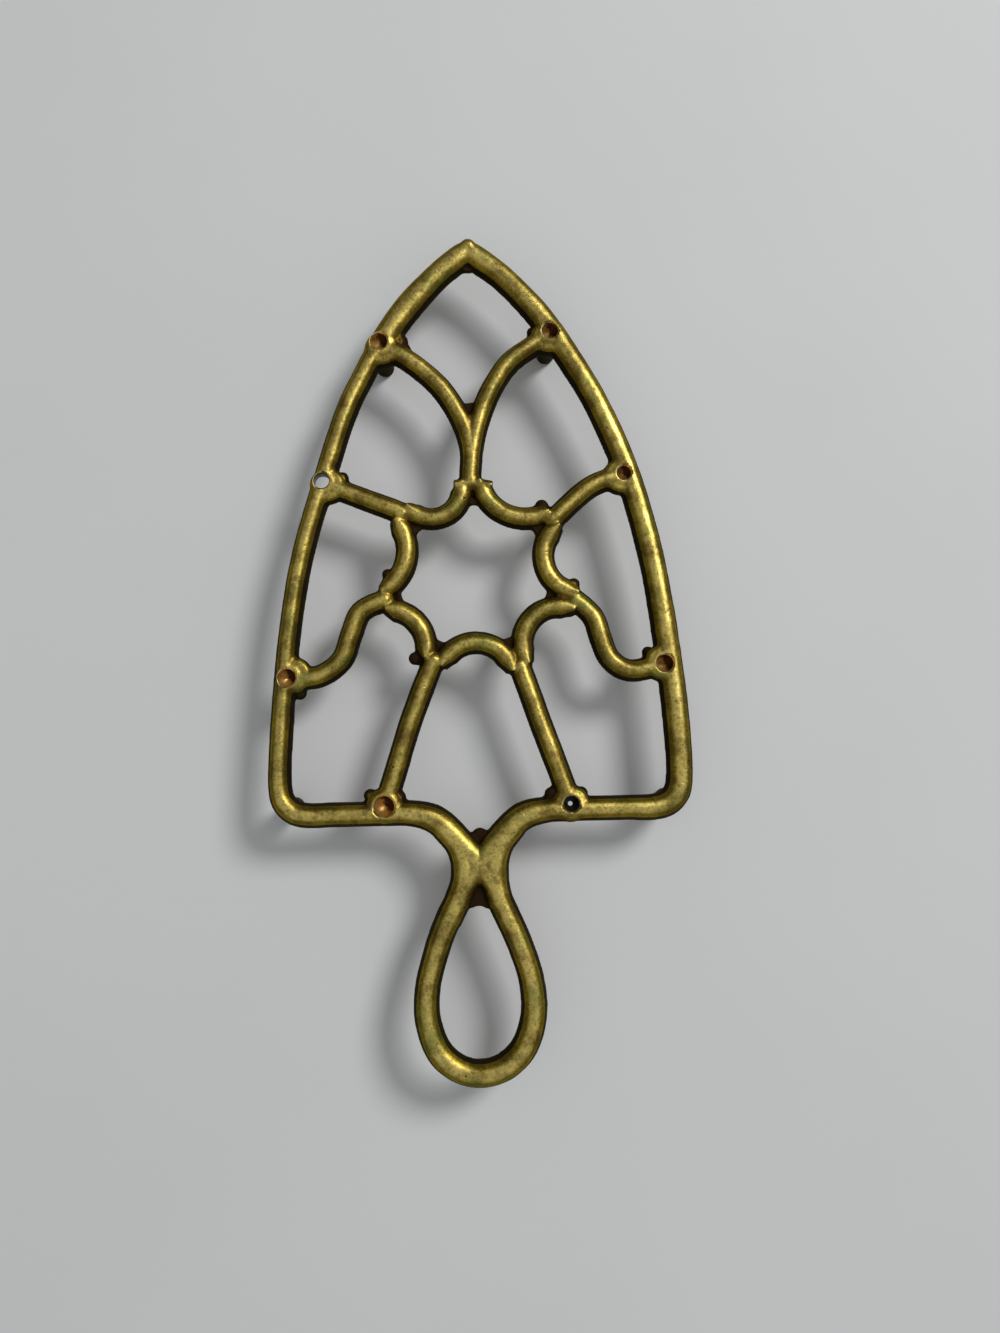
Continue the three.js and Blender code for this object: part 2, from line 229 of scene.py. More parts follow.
# Drilled bosses: the hole's centre and radius, how far the disc lies in from it, and the depth.
# Only the walls of the blind holes show copper; the open holes are painted near black, as shade.
BLIND, PIERCED, THROUGH = 2.0, 2.95, 6.0
BOSSES = {
    "front_left": ((-25.8, 88.9), 2.4, 2.0, BLIND),
    "front_right": ((23.9, 91.6), 2.3, 1.4, BLIND),
    "side_left": ((-42.6, 47.9), 2.2, 1.9, THROUGH),
    "side_right": ((44.0, 49.0), 2.0, 1.0, BLIND),
    "low_left": ((-52.6, -8.2), 2.5, 1.9, BLIND),
    "low_right": ((53.6, -6.3), 2.4, 0.6, BLIND),
    "rear_left": ((-26.0, -44.4), 2.8, 0.0, BLIND),
    "rear_right": ((25.9, -45.0), 2.2, 0.0, PIERCED),
}

# A boss's radius, its rounded shoulder as lengths in from the edge and down from the top, and the
# raised rim of its hole as lengths out from the hole and up from the top
BOSS_RADIUS = 5.3
BOSS_SHOULDER = [(0.3, 1.1), (0.9, 0.2), (1.8, 0.0)]
RAISED_RIM = [(1.0, -1.4), (1.0, 0.1), (0.6, 0.4)]

# The drill: its point's half angle, the chamfer it leaves, and its wider shank above the metal
DRILL_POINT = math.radians(59)
CHAMFER = 0.45
SHANK_WIDENING = 0.5
SHANK_RISE = 0.4

# Knobs of metal that the mould left in the corners between bars: x, y, radius, height
KNOBS = [
    (-19.8, 89.6, 2.4, 3.0),
    (-18.4, 87.4, 1.7, 2.8),
    (18.7, 92.3, 1.5, 2.6),
    (-36.8, 49.2, 1.8, 3.1),
    (-49.3, -12.4, 1.8, 2.6),
    (49.3, -2.8, 1.7, 2.7),
    (-30.0, -41.4, 1.9, 3.0),
    (-21.9, -42.0, 1.9, 3.0),
    (20.5, -42.1, 1.9, 2.7),
    (28.9, -42.2, 1.9, 3.0),
    (20.2, 40.2, 2.0, 2.8),
    (28.8, 17.3, 1.7, 3.0),
    (-17.0, -3.2, 1.9, 2.7),
    (-24.4, 21.0, 1.6, 2.9),
]

# A knob's round top: share of its radius, and depth below its height
KNOB_TOP = [(1.0, 1.2), (0.75, 0.5), (0.3, 0.2)]
KNOB_SIDES = 20

# Star ring: its centre, each cusp's bearing and reach, and how far the bar after it bows inwards
STAR_CENTRE = (1.2, 19.7)
CUSPS = {
    "front": (93.0, 28.3, 7.1),
    "left_upper": (138.5, 28.9, 5.4),
    "left": (193.0, 27.7, 4.6),
    "left_lower": (241.7, 27.6, 7.7),
    "right_lower": (294.1, 28.8, 7.8),
    "right": (345.1, 29.3, 7.3),
    "right_upper": (396.8, 28.0, 5.8),
}

# How far a bar of the ring ends beside its cusp, its widths, and the points along it
CUSP_SPREAD = 2.5
RING_WIDTH = 6.9
RING_END_WIDTH = 4.0
ARC_POINTS = 9

# The cross bar at the front cusp, whose ends stand out as shoulders: x, y and width
FRONT_SHOULDERS = [
    (-5.1, 46.4, 4.6),
    (0.6, 46.7, 4.6),
    (6.1, 46.0, 4.6),
]

# Spokes: their width, how far they run on past a cusp, and the bends between a boss and a cusp
SPOKE_WIDTH = 6.8
SPOKE_RUN_ON = 1.5
SPOKES = [
    ("front_left", [(-19.2, 85.2), (-13.3, 80.8), (-7.2, 74.4), (-1.9, 64.8), (0.1, 57.0)], "front"),
    ("front_right", [(18.9, 88.2), (12.0, 83.2), (6.4, 75.0), (2.6, 65.8), (0.5, 57.0)], "front"),
    ("side_left", [(-32.0, 43.6)], "left_upper"),
    ("side_right", [(35.1, 46.1)], "right_upper"),
    ("low_left", [(-43.8, -7.6), (-37.6, -3.2), (-34.9, 3.8), (-32.0, 10.4)], "left"),
    ("low_right", [(43.6, -7.8), (38.4, -4.4), (36.1, 1.4), (34.0, 7.8)], "right"),
    ("rear_left", [(-23.2, -36.0), (-18.6, -21.5)], "left_lower"),
    ("rear_right", [(23.0, -36.0), (17.9, -21.5)], "right_lower"),
]

# Unevenness of the casting: size of its waves and their depth
UNEVENNESS = [(9.0, 0.10), (3.0, 0.05), (1.2, 0.02)]

# How much, and how often, the surface is evened out to find its corners
EVENING_SHARE = 0.6
EVENING_ROUNDS = 12

# Feet: radius and height of the worn sole's edges, then a shaft that swells towards the plate
FOOT_SOLE = [(1.9, 0.0), (2.3, 0.1), (2.6, 0.55)]
SHAFT_START = 1.2
SHAFT_RADIUS = 2.7
SHAFT_TOP_RADIUS = 3.3
SHAFT_STEPS = 8
SHAFT_SWELL = 1.6
FOOT_SIDES = 40
FOOT_WAVES_PER_METRE = 260
FOOT_WAVE_DEPTH = 0.09


# Bars and turned solids


def catmull_rom(points, spacing):
    """Points every spacing millimetres along a centripetal curve through points of any dimension."""
    knots = np.array(points, float)
    knots = np.vstack([2 * knots[0] - knots[1], knots, 2 * knots[-1] - knots[-2]])
    line = []
    for a, b, c, d in zip(knots, knots[1:], knots[2:], knots[3:]):
        t0 = 0.0
        t1 = t0 + np.linalg.norm(b[:2] - a[:2]) ** 0.5
        t2 = t1 + np.linalg.norm(c[:2] - b[:2]) ** 0.5
        t3 = t2 + np.linalg.norm(d[:2] - c[:2]) ** 0.5
        count = max(2, int(np.linalg.norm(c[:2] - b[:2]) / spacing))
        for t in np.linspace(t1, t2, count, endpoint=False):
            ab = a + (b - a) * (t - t0) / (t1 - t0)
            bc = b + (c - b) * (t - t1) / (t2 - t1)
            cd = c + (d - c) * (t - t2) / (t3 - t2)
            abc = ab + (bc - ab) * (t - t0) / (t2 - t0)
            bcd = bc + (cd - bc) * (t - t1) / (t3 - t1)
            line.append(abc + (bcd - abc) * (t - t1) / (t2 - t1))
    line.append(knots[-2])
    return np.array(line)


def bar_section(width, thickness):
    """Section points as (across, up) pairs, anticlockwise from the underside's left corner."""
    half = width / 2
    shoulder = WALL_SHARE * thickness
    reach = (half - WALL_DRAFT) / math.cos(CROWN_START)
    rise = (thickness - shoulder) / (1 - math.sin(CROWN_START))
    points = [(-half + EDGE_ROUNDING, 0.0), (half - EDGE_ROUNDING, 0.0), (half, EDGE_ROUNDING)]
    for angle in np.linspace(CROWN_START, math.pi - CROWN_START, CROWN_STEPS + 1):
        up = shoulder + rise * (math.sin(angle) - math.sin(CROWN_START))
        points.append((reach * math.cos(angle), up))
    points.append((-half, EDGE_ROUNDING))
    return points


def add_rings(shell, rings):
    """Joins rings of points into one closed skin."""
    made = [[shell.verts.new((Vector(p) + PLAN_SHIFT) * MM) for p in ring] for ring in rings]
    for ring, following in zip(made, made[1:]):
        for i in range(len(ring)):
            j = (i + 1) % len(ring)
            shell.faces.new((ring[i], ring[j], following[j], following[i]))
    shell.faces.new(list(reversed(made[0])))
    shell.faces.new(made[-1])


def add_bar(shell, points, thickness):
    """A bar along plan points (x, y, width)."""
    line = catmull_rom(points, RING_SPACING)
    ahead = np.gradient(line[:, :2], axis=0)
    ahead /= np.linalg.norm(ahead, axis=1)[:, None]
    rings = []
    for (x, y, width), (dx, dy) in zip(line, ahead):
        section = bar_section(width, thickness)
        rings.append([(x - dy * u, y + dx * u, FOOT_HEIGHT + v) for u, v in section])
    add_rings(shell, [list(reversed(ring)) for ring in rings])


def add_turned(shell, centre, profile, sides=TURNED_SIDES):
    """A turned solid from (radius, height) pairs, none on the axis, about a plan point."""
    rings = []
    for radius, height in profile:
        ring = []
        for i in range(sides):
            angle = 2 * math.pi * i / sides
            place = (centre[0] + radius * math.cos(angle), centre[1] + radius * math.sin(angle), height)
            ring.append(place)
        rings.append(ring)
    add_rings(shell, rings)


def add_cap(shell, centre, width, thickness):
    """A round end with a bar's section."""
    section = bar_section(width, thickness)
    profile = [(u, FOOT_HEIGHT + v) for u, v in section if u > LEAST_RADIUS]
    add_turned(shell, centre, profile)


# Lattice, bosses and knobs


def disc_centre(centre, inset):
    """A boss's middle, which lies nearer the star than its hole does."""
    inwards = Vector(STAR_CENTRE) - Vector(centre)
    return Vector(centre) + inwards.normalized() * inset


def cusp_point(name, spread=0.0, pull=0.0):
    """A cusp's plan point, moved along the ring by a spread and inwards by a pull."""
    bearing, reach, _ = CUSPS[name]
    angle = math.radians(bearing)
    x = STAR_CENTRE[0] + (reach - pull) * math.cos(angle) - spread * math.sin(angle)
    y = STAR_CENTRE[1] + (reach - pull) * math.sin(angle) + spread * math.cos(angle)
    return Vector((x, y))


def arc_points(start, end, bow):
    """Points of an arc between two plan points, which bows to the left of its way."""
    along = end - start
    half = along.length / 2
    along.normalize()
    bowed = Vector((-along.y, along.x))
    radius = (half * half + bow * bow) / (2 * bow)
    reach = math.asin(min(1, half / radius))
    centre = (start + end) / 2 + bowed * (bow - radius)
    points = []
    for i in range(ARC_POINTS):
        angle = reach * (2 * i / (ARC_POINTS - 1) - 1)
        points.append(centre + bowed * radius * math.cos(angle) + along * radius * math.sin(angle))
    return points


def star_bars():
    """The ring's bars, one from each cusp to the next, narrow at both ends."""
    names = list(CUSPS)
    widths = [RING_END_WIDTH] + [RING_WIDTH] * (ARC_POINTS - 2) + [RING_END_WIDTH]
    bars = []
    for name, following in zip(names, names[1:] + names[:1]):
        start = cusp_point(name, CUSP_SPREAD)
        end = cusp_point(following, -CUSP_SPREAD)
        points = arc_points(start, end, CUSPS[name][2])
        bars.append([(p.x, p.y, width) for p, width in zip(points, widths)])
    return bars


def spoke_bars():
    """The spokes, each from its boss through its bends and past its cusp."""
    bars = []
    for boss, bends, cusp in SPOKES:
        inside = cusp_point(cusp, pull=SPOKE_RUN_ON)
        plan = [BOSSES[boss][0], *bends, tuple(cusp_point(cusp)), tuple(inside)]
        bars.append([(x, y, SPOKE_WIDTH) for x, y in plan])
    return bars


def add_bosses(shell):
    """The bosses' discs, with a raised rim round each hole to come."""
    for centre, hole, inset, _ in BOSSES.values():
        disc = [
            (BOSS_RADIUS - EDGE_ROUNDING, FOOT_HEIGHT),
            (BOSS_RADIUS, FOOT_HEIGHT + EDGE_ROUNDING),
        ]
        disc += [(BOSS_RADIUS - inwards, BOSS_TOP - down) for inwards, down in BOSS_SHOULDER]
        add_turned(shell, disc_centre(centre, inset), disc)
        rim = [(hole + outwards, BOSS_TOP + up) for outwards, up in RAISED_RIM]
        add_turned(shell, disc_centre(centre, inset / 4), rim)


def add_knobs(shell):
    """The knobs in the corners, each a short post with a round top."""
    for x, y, radius, height in KNOBS:
        profile = [(radius, FOOT_HEIGHT)]
        profile += [(radius * share, FOOT_HEIGHT + height - down) for share, down in KNOB_TOP]
        add_turned(shell, (x, y), profile, KNOB_SIDES)


# Low metal in the corners


def distance_map(across, along, discs, limit):
    """Distance of each point of a plan grid from the closest disc (x, y, radius), up to a limit."""
    found = np.full((len(across), len(along)), limit)
    for x, y, radius in discs:
        reach = limit + radius
        i = slice(*np.searchsorted(across, (x - reach, x + reach)))
        j = slice(*np.searchsorted(along, (y - reach, y + reach)))
        away = np.hypot(across[i, None] - x, along[None, j] - y) - radius
        found[i, j] = np.minimum(found[i, j], away)
    return found


def corner_places(metal, radius):
    """Plan points beside the metal's discs (x, y, width) that a disc of the radius can't reach."""
    room = metal[:, 2].max() + 3 * radius
    across = np.arange(metal[:, 0].min() - room, metal[:, 0].max() + room, FILL_SPACING)
    along = np.arange(metal[:, 1].min() - room, metal[:, 1].max() + room, FILL_SPACING)
    gap = distance_map(across, along, metal * (1, 1, 0.5), 2 * radius)
    i, j = np.nonzero((gap > radius) & (gap < radius + 2 * FILL_SPACING))
    reached = np.column_stack([across[i], along[j], np.zeros(len(i))])
    beyond = distance_map(across, along, reached, 2 * radius) > radius + FILL_SPACING
    i, j = np.nonzero(beyond & (gap > -FILL_SPACING) & (gap < radius))
    corners = np.column_stack([across[i], along[j]])
    apart = np.hypot(*(corners[:, None] - corners[None]).T)
    return corners[(apart < CROWD_REACH).sum(axis=0) > CROWD]


def add_fill(shell, lattice):
    """The low metal in the corners and the web in the notch."""
    frame_lines = [catmull_rom(points, RING_SPACING) for points in FRAME_BARS]
    lattice_lines = [catmull_rom(points, RING_SPACING) for points in lattice]
    discs = [(*disc_centre(centre, inset), 2 * BOSS_RADIUS) for centre, _, inset, _ in BOSSES.values()]
    frame_corners = corner_places(np.vstack(frame_lines), FRAME_FILL)
    all_corners = corner_places(np.vstack(frame_lines + lattice_lines + [discs]), LATTICE_FILL)
    post = [(FILL_SPACING, FOOT_HEIGHT), (FILL_SPACING, FOOT_HEIGHT + FILL_THICKNESS)]
    for place in np.vstack([frame_corners, all_corners]):
        add_turned(shell, place, post, POST_SIDES)
    web_top = FOOT_HEIGHT + WEB_THICKNESS
    web = [
        (NOTCH_WEB_RADIUS, FOOT_HEIGHT),
        (NOTCH_WEB_RADIUS, web_top - WEB_EDGE_DROP),
        (NOTCH_WEB_RADIUS - WEB_EDGE_WIDTH, web_top),
    ]
    add_turned(shell, NOTCH_WEB, web, WEB_SIDES)


# The casting as one skin


def put_in_scene(name, data):
    """A new object in the scene, made of a mesh, a camera or a light."""
    made = bpy.data.objects.new(name, data)
    bpy.context.scene.collection.objects.link(made)
    return made


def new_object(name, shell):
    """An object in the scene with a finished skin."""
    mesh = bpy.data.meshes.new(name)
    bmesh.ops.recalc_face_normals(shell, faces=shell.faces)
    shell.to_mesh(mesh)
    shell.free()
    return put_in_scene(name, mesh)


def settle_modifiers(piece):
    """Makes the modified mesh the piece's own."""
    graph = bpy.context.evaluated_depsgraph_get()
    done = bpy.data.meshes.new_from_object(piece.evaluated_get(graph))
    old = piece.data
    piece.modifiers.clear()
    piece.data = done
    done.name = piece.name
    bpy.data.meshes.remove(old)


def casting_blank():
    """All members joined into one skin."""
    shell = bmesh.new()
    lattice = star_bars() + spoke_bars()
    for points in FRAME_BARS:
        add_bar(shell, points, FRAME_THICKNESS)
    for points in [*lattice, FRONT_SHOULDERS]:
        add_bar(shell, points, LATTICE_THICKNESS)
    add_cap(shell, TIP_MIDDLE, TIP_CAP_WIDTH, FRAME_THICKNESS)
    for cusp in CUSPS:
        add_cap(shell, cusp_point(cusp, pull=CUSP_CAP_PULL), CUSP_CAP_WIDTH, LATTICE_THICKNESS)
    add_fill(shell, lattice)
    add_bosses(shell)
    add_knobs(shell)
    blank = new_object("openwork_casting", shell)
    join = blank.modifiers.new("join", "REMESH")
    join.mode = "VOXEL"
    join.voxel_size = VOXEL * MM
    settle_modifiers(blank)
    smooth = blank.modifiers.new("smooth", "SMOOTH")
    smooth.factor = SMOOTH_SHARE
    smooth.iterations = SMOOTH_ROUNDS
    thin = blank.modifiers.new("thin", "DECIMATE")
    thin.ratio = KEPT_SHARE
    settle_modifiers(blank)
    return blank


def drill_holes(piece, bosses, metal, rim):
    """Cuts holes with conical floors, whose walls and pale rims, worn and painted as a highlight, take
    the given materials.
    """
    shell = bmesh.new()
    for centre, radius, _, depth in bosses:
        cone = radius / math.tan(DRILL_POINT)
        profile = [
            (LEAST_RADIUS, BOSS_TOP - depth - cone),
            (radius, BOSS_TOP - depth),
            (radius, BOSS_TOP),
            (radius + CHAMFER, BOSS_TOP + CHAMFER),
            (radius + SHANK_WIDENING, TOP + SHANK_RISE),
        ]
        add_turned(shell, centre, profile)
    cutter = new_object("drill", shell)
    cutter.data.materials.append(metal)
    cutter.data.materials.append(rim)
    for face in cutter.data.polygons:
        face.material_index = int(face.center.z > BOSS_TOP * MM)
    cut = piece.modifiers.new("drill", "BOOLEAN")
    cut.operation = "DIFFERENCE"
    cut.solver = "MANIFOLD"
    cut.object = cutter
    cut.material_mode = "TRANSFER"
    settle_modifiers(piece)
    bpy.data.objects.remove(cutter)


def stored_rows(elements, field, width, kind=float):
    """A field of a mesh's vertices or edges, as one row for each."""
    values = np.empty(len(elements) * width, kind)
    elements.foreach_get(field, values)
    return values.reshape(-1, width)


def hand_finish(piece):
    """Slight unevenness of sand casting and filing, kept inside the solids' outer box."""
    mesh = piece.data
    places = stored_rows(mesh.vertices, "co", 3)
    normals = stored_rows(mesh.vertices, "normal", 3)
    push = np.zeros(len(places))
    for size, depth in UNEVENNESS:
        scale = 1 / (size * MM)
        push += [depth * noise.noise(Vector(p) * scale) for p in places]
    places += normals * push[:, None] * MM
    places = np.clip(places, (cad_low[0], cad_low[1], FOOT_HEIGHT * MM), cad_high)
    mesh.vertices.foreach_set("co", places.ravel())
    mesh.update()


def mark_recesses(piece):
    """Stores how far each point lies in a corner, in millimetres."""
    mesh = piece.data
    places = stored_rows(mesh.vertices, "co", 3)
    normals = stored_rows(mesh.vertices, "normal", 3)
    edges = stored_rows(mesh.edges, "vertices", 2, int)
    degree = np.bincount(edges.ravel(), minlength=len(places))[:, None]
    evened = places.copy()
    for _ in range(EVENING_ROUNDS):
        total = np.zeros_like(evened)
        np.add.at(total, edges[:, 0], evened[edges[:, 1]])
        np.add.at(total, edges[:, 1], evened[edges[:, 0]])
        evened = (1 - EVENING_SHARE) * evened + EVENING_SHARE * total / degree
    rise = ((evened - places) * normals).sum(axis=1) / MM
    layer = mesh.attributes.new("recess", "FLOAT", "POINT")
    layer.data.foreach_set("value", np.clip(rise, 0, 1))


# Materials


class Look:
    """A material, and short names for building its node tree."""

    def __init__(self, name):
        self.material = bpy.data.materials.new(name)
        self.material.use_nodes = True
        self.tree = self.material.node_tree
        self.shader = self.tree.nodes["Principled BSDF"]
        self.place = self.add("ShaderNodeTexCoord").outputs["Object"]

    def add(self, kind, **settings):
        """A new node with the given settings."""
        node = self.tree.nodes.new(kind)
        for key, value in settings.items():
            setattr(node, key, value)
        return node

    def link(self, source, socket):
        """Feeds a socket from another node's output or with a constant."""
        if hasattr(source, "is_output"):
            self.tree.links.new(source, socket)
        else:
            socket.default_value = source

    def shade(self, **values):
        """Feeds the shader's inputs, whose names are written with underscores."""
        for name, value in values.items():
            self.link(value, self.shader.inputs[name.replace("_", " ")])

    def noise(self, size, detail=4.0, roughness=0.6, seed=0.0):
        """Cloudy values from 0 to 1 with features of a size in millimetres."""
        node = self.add("ShaderNodeTexNoise", noise_dimensions="4D")
        self.link(self.place, node.inputs["Vector"])
        node.inputs["Scale"].default_value = 1 / (size * MM)
        node.inputs["Detail"].default_value = detail
        node.inputs["Roughness"].default_value = roughness
        node.inputs["W"].default_value = seed
        return node.outputs["Fac"]

    def ramp(self, value, low, high, to_low=0.0, to_high=1.0):
        """Smooth step of a value between two limits."""
        node = self.add("ShaderNodeMapRange", interpolation_type="SMOOTHSTEP")
        self.link(value, node.inputs["Value"])
        node.inputs["From Min"].default_value = low
        node.inputs["From Max"].default_value = high
        node.inputs["To Min"].default_value = to_low
        node.inputs["To Max"].default_value = to_high
        return node.outputs["Result"]

    def math(self, operation, a, b):
        """A sum, product or other result of two values."""
        node = self.add("ShaderNodeMath", operation=operation)
        self.link(a, node.inputs[0])
        self.link(b, node.inputs[1])
        return node.outputs[0]

    def times(self, *values):
        """The product of all values."""
        product = values[0]
        for value in values[1:]:
            product = self.math("MULTIPLY", product, value)
        return product

    def most(self, a, b):
        """The larger of two values."""
        return self.math("MAXIMUM", a, b)

    def mix(self, factor, a, b):
        """Colour a where the factor is 0 and b where it is 1."""
        node = self.add("ShaderNodeMix", data_type="RGBA")
        self.link(factor, node.inputs["Factor"])
        self.link(a, node.inputs["A"])
        self.link(b, node.inputs["B"])
        return node.outputs["Result"]

    def facing(self, direction):
        """How far the surface faces a direction, from -1 to 1."""
        node = self.add("ShaderNodeVectorMath", operation="DOT_PRODUCT")
        self.link(self.add("ShaderNodeNewGeometry").outputs["Normal"], node.inputs[0])
        node.inputs[1].default_value = direction
        return node.outputs["Value"]

    def height(self):
        """Height in the frame, in metres."""
        parts = self.add("ShaderNodeSeparateXYZ")
        self.link(self.place, parts.inputs[0])
        return parts.outputs["Z"]

    def stored(self, name):
        """A value that is stored on the mesh."""
        return self.add("ShaderNodeAttribute", attribute_name=name).outputs["Fac"]

    def pits(self, size, seed):
        """1 in small scattered pits and 0 between them."""
        cells = self.add("ShaderNodeTexVoronoi", voronoi_dimensions="4D")
        self.link(self.place, cells.inputs["Vector"])
        cells.inputs["Scale"].default_value = 1 / (size * MM)
        cells.inputs["W"].default_value = seed
        near = self.ramp(cells.outputs["Distance"], 0.34, 0.12)
        scattered = self.ramp(self.noise(7, 2, seed=seed + 3), 0.52, 0.66)
        return self.times(near, scattered)

    def bump(self, value, depth, strength, under=None):
        """A normal raised by a value, to a depth in millimetres, over the normal under it."""
        node = self.add("ShaderNodeBump")
        self.link(value, node.inputs["Height"])
        node.inputs["Distance"].default_value = depth * MM
        node.inputs["Strength"].default_value = strength
        if under is not None:
            self.link(under, node.inputs["Normal"])
        return node.outputs["Normal"]


# Heights in metres between which the walls' dark patina and painted shade give way to clean metal,
# flanks to worn crests, the painted floor light on the lowest walls to black, and a hole's floor to
# its mouth, where painted shade grows
LOW_FLOOR, LOW_TOP = (FOOT_HEIGHT + 2.4) * MM, (FOOT_HEIGHT + 3.2) * MM
CREST_FLOOR, CREST_TOP = (FOOT_HEIGHT + 3.3) * MM, (TOP - 0.1) * MM
GLOW_FLOOR, GLOW_TOP = FOOT_HEIGHT * MM, (FOOT_HEIGHT + 1.4) * MM
HOLE_FLOOR, HOLE_MOUTH = (BOSS_TOP - 1.5) * MM, BOSS_TOP * MM

OLIVE = (0.270, 0.190, 0.018, 1)
DEEP_OLIVE = (0.110, 0.075, 0.010, 1)
POLISHED = (0.640, 0.510, 0.150, 1)
# Brown is painted shade in the corners and the colour of pits; black is painted shade over dark patina;
# grey-brown is painted floor light
BROWN = (0.010, 0.006, 0.0025, 1)
BLACK = (0.006, 0.004, 0.002, 1)
GREY_BROWN = (0.080, 0.066, 0.048, 1)
DULL_BRASS = (0.170, 0.120, 0.028, 1)
RED_BROWN = (0.017, 0.007, 0.004, 1)
RUST = (0.130, 0.045, 0.012, 1)
GRAIN = (0.520, 0.400, 0.090, 1)
GLINT = (0.950, 0.800, 0.450, 1)
# Copper of the hole walls where lit, and its copy in painted shade
COPPER = (0.720, 0.420, 0.120, 1)
SHADED_COPPER = (0.032, 0.011, 0.005, 1)
RIM_WEAR_AND_HIGHLIGHT = (0.520, 0.430, 0.240, 1)
VERDIGRIS = (0.075, 0.125, 0.022, 1)


def rubbed_colour(look, crest, up, clouds, speckle):
    """Olive flanks and polished crests, with pale grains, dark stains and some verdigris."""
    mix, ramp, times = look.mix, look.ramp, look.times
    flank = mix(ramp(clouds, 0.38, 0.60), DEEP_OLIVE, OLIVE)
    flank = mix(ramp(speckle, 0.52, 0.36, 0.0, 0.85), flank, DEEP_OLIVE)
    colour = mix(times(crest, ramp(speckle, 0.32, 0.58, 0.35, 1.0)), flank, POLISHED)
    grains = ramp(look.noise(0.5, 2, 0.5, seed=11), 0.56, 0.66)
    colour = mix(times(grains, ramp(up, 0.6, 0.9), 0.5), colour, GRAIN)
    stains = ramp(look.noise(2.4, 5, 0.65, seed=12), 0.52, 0.68)
    colour = mix(times(stains, 0.6), colour, DEEP_OLIVE)
    patches = ramp(look.noise(9, 3, 0.5, seed=3), 0.54, 0.68)
    return mix(times(patches, 0.45), colour, VERDIGRIS)


def wall_shade_colour(look, height, up, clouds):
    """Black painted shade and dark patina on the walls, paler at their foot with painted floor light,
    and red-brown on low ledges.
    """
    mix, ramp, times = look.mix, look.ramp, look.times
    # Painted floor light makes the foot of the walls paler
    glow = ramp(height, GLOW_TOP, GLOW_FLOOR, 0.0, 0.5)
    shade_and_grime = mix(times(glow, ramp(clouds, 0.4, 0.6)), BLACK, GREY_BROWN)
    return mix(ramp(up, 0.6, 0.95), shade_and_grime, RED_BROWN)


def aged_brass(name, shade_share=0.0):
    """Antique brass: bright worn crests, olive flanks, and walls black with dark patina and painted
    shade. A share of painted shade darkens all of it.
    """
    look = Look(name)
    mix, ramp, times = look.mix, look.ramp, look.times
    height = look.height()
    up = look.facing((0, 0, 1))
    clouds = look.noise(6.5, 6, 0.62, seed=1)
    speckle = look.noise(0.8, 5, 0.75, seed=2)
    corner = look.stored("recess")
    pits = look.pits(1.5, 5)
    crest = times(
        ramp(height, CREST_FLOOR, CREST_TOP),
        ramp(up, 0.78, 0.995),
        ramp(clouds, 0.30, 0.62, 0.25, 1.0),
    )
    # Walls and low metal, which take dark patina and painted shade
    wall = look.most(ramp(up, 0.62, 0.36), ramp(height, LOW_TOP, LOW_FLOOR))
    edge = look.math("ADD", wall, ramp(speckle, 0.35, 0.65, -0.18, 0.18))
    dark = ramp(edge, 0.25, 0.75)
    recess = ramp(corner, 0.08, 0.34, 0.0, 0.96)
    dull = look.most(dark, recess)

    colour = rubbed_colour(look, crest, up, clouds, speckle)
    rust = look.most(ramp(look.noise(4, 4, 0.6, seed=9), 0.55, 0.68), ramp(corner, 0.02, 0.08))
    colour = mix(times(rust, ramp(speckle, 0.38, 0.56), 0.6), colour, RUST)
    # Dark patina and painted shade on the walls and low metal
    shade_and_grime = wall_shade_colour(look, height, up, clouds)
    colour = mix(times(dark, ramp(clouds, 0.2, 0.6, 1.0, 0.97)), colour, shade_and_grime)
    underside = times(ramp(up, -0.5, -0.9), ramp(clouds, 0.3, 0.6, 0.5, 0.95))
    colour = mix(underside, colour, DULL_BRASS)
    # Painted shade in the corners, dark brown
    colour = mix(recess, colour, BROWN)
    colour = mix(times(pits, 0.8), colour, BROWN)
    # Painted shade over the whole piece, for pieces that stand in shade
    colour = mix(shade_share, colour, BLACK)

    rough = look.math("ADD", ramp(speckle, 0.3, 0.7, 0.33, 0.46), times(dull, 0.28))
    coarse = look.bump(clouds, 0.30, 0.30)
    fine = look.math("SUBTRACT", speckle, times(pits, 1.2))
    look.shade(
        Base_Color=colour,
        Metallic=ramp(dull, 0.0, 1.0, 0.95, 0.35),
        Specular_IOR_Level=ramp(dull, 0.0, 1.0, 0.25, 0.08),
        Specular_Tint=GLINT,
        Roughness=look.math("SUBTRACT", rough, times(crest, 0.04)),
        Normal=look.bump(fine, 0.12, 0.65, under=coarse),
    )
    return look.material


def drilled_metal(name, shade_and_grime):
    """The coppery wall of a drilled hole, with painted shade at its upper right and towards its mouth,
    under a given share of further painted shade.
    """
    look = Look(name)
    mix, ramp = look.mix, look.ramp
    clouds = look.noise(1.1, 5, 0.6, seed=7)
    # Painted shade: walls that face away from the upper right are darker
    turned = look.math("ADD", look.facing((0.75, 0.45, 0)), ramp(clouds, 0.3, 0.7, -0.15, 0.15))
    colour = mix(ramp(turned, 0.25, -0.40), COPPER, SHADED_COPPER)
    # Painted shade grows towards the hole's mouth
    mouth = ramp(look.height(), HOLE_FLOOR, HOLE_MOUTH)
    colour = mix(look.most(look.times(mouth, 0.5), shade_and_grime), colour, BLACK)
    look.shade(
        Base_Color=colour,
        Metallic=0.85,
        Roughness=ramp(clouds, 0.3, 0.7, 0.30, 0.50),
        Normal=look.bump(clouds, 0.15, 0.4),
    )
    return look.material


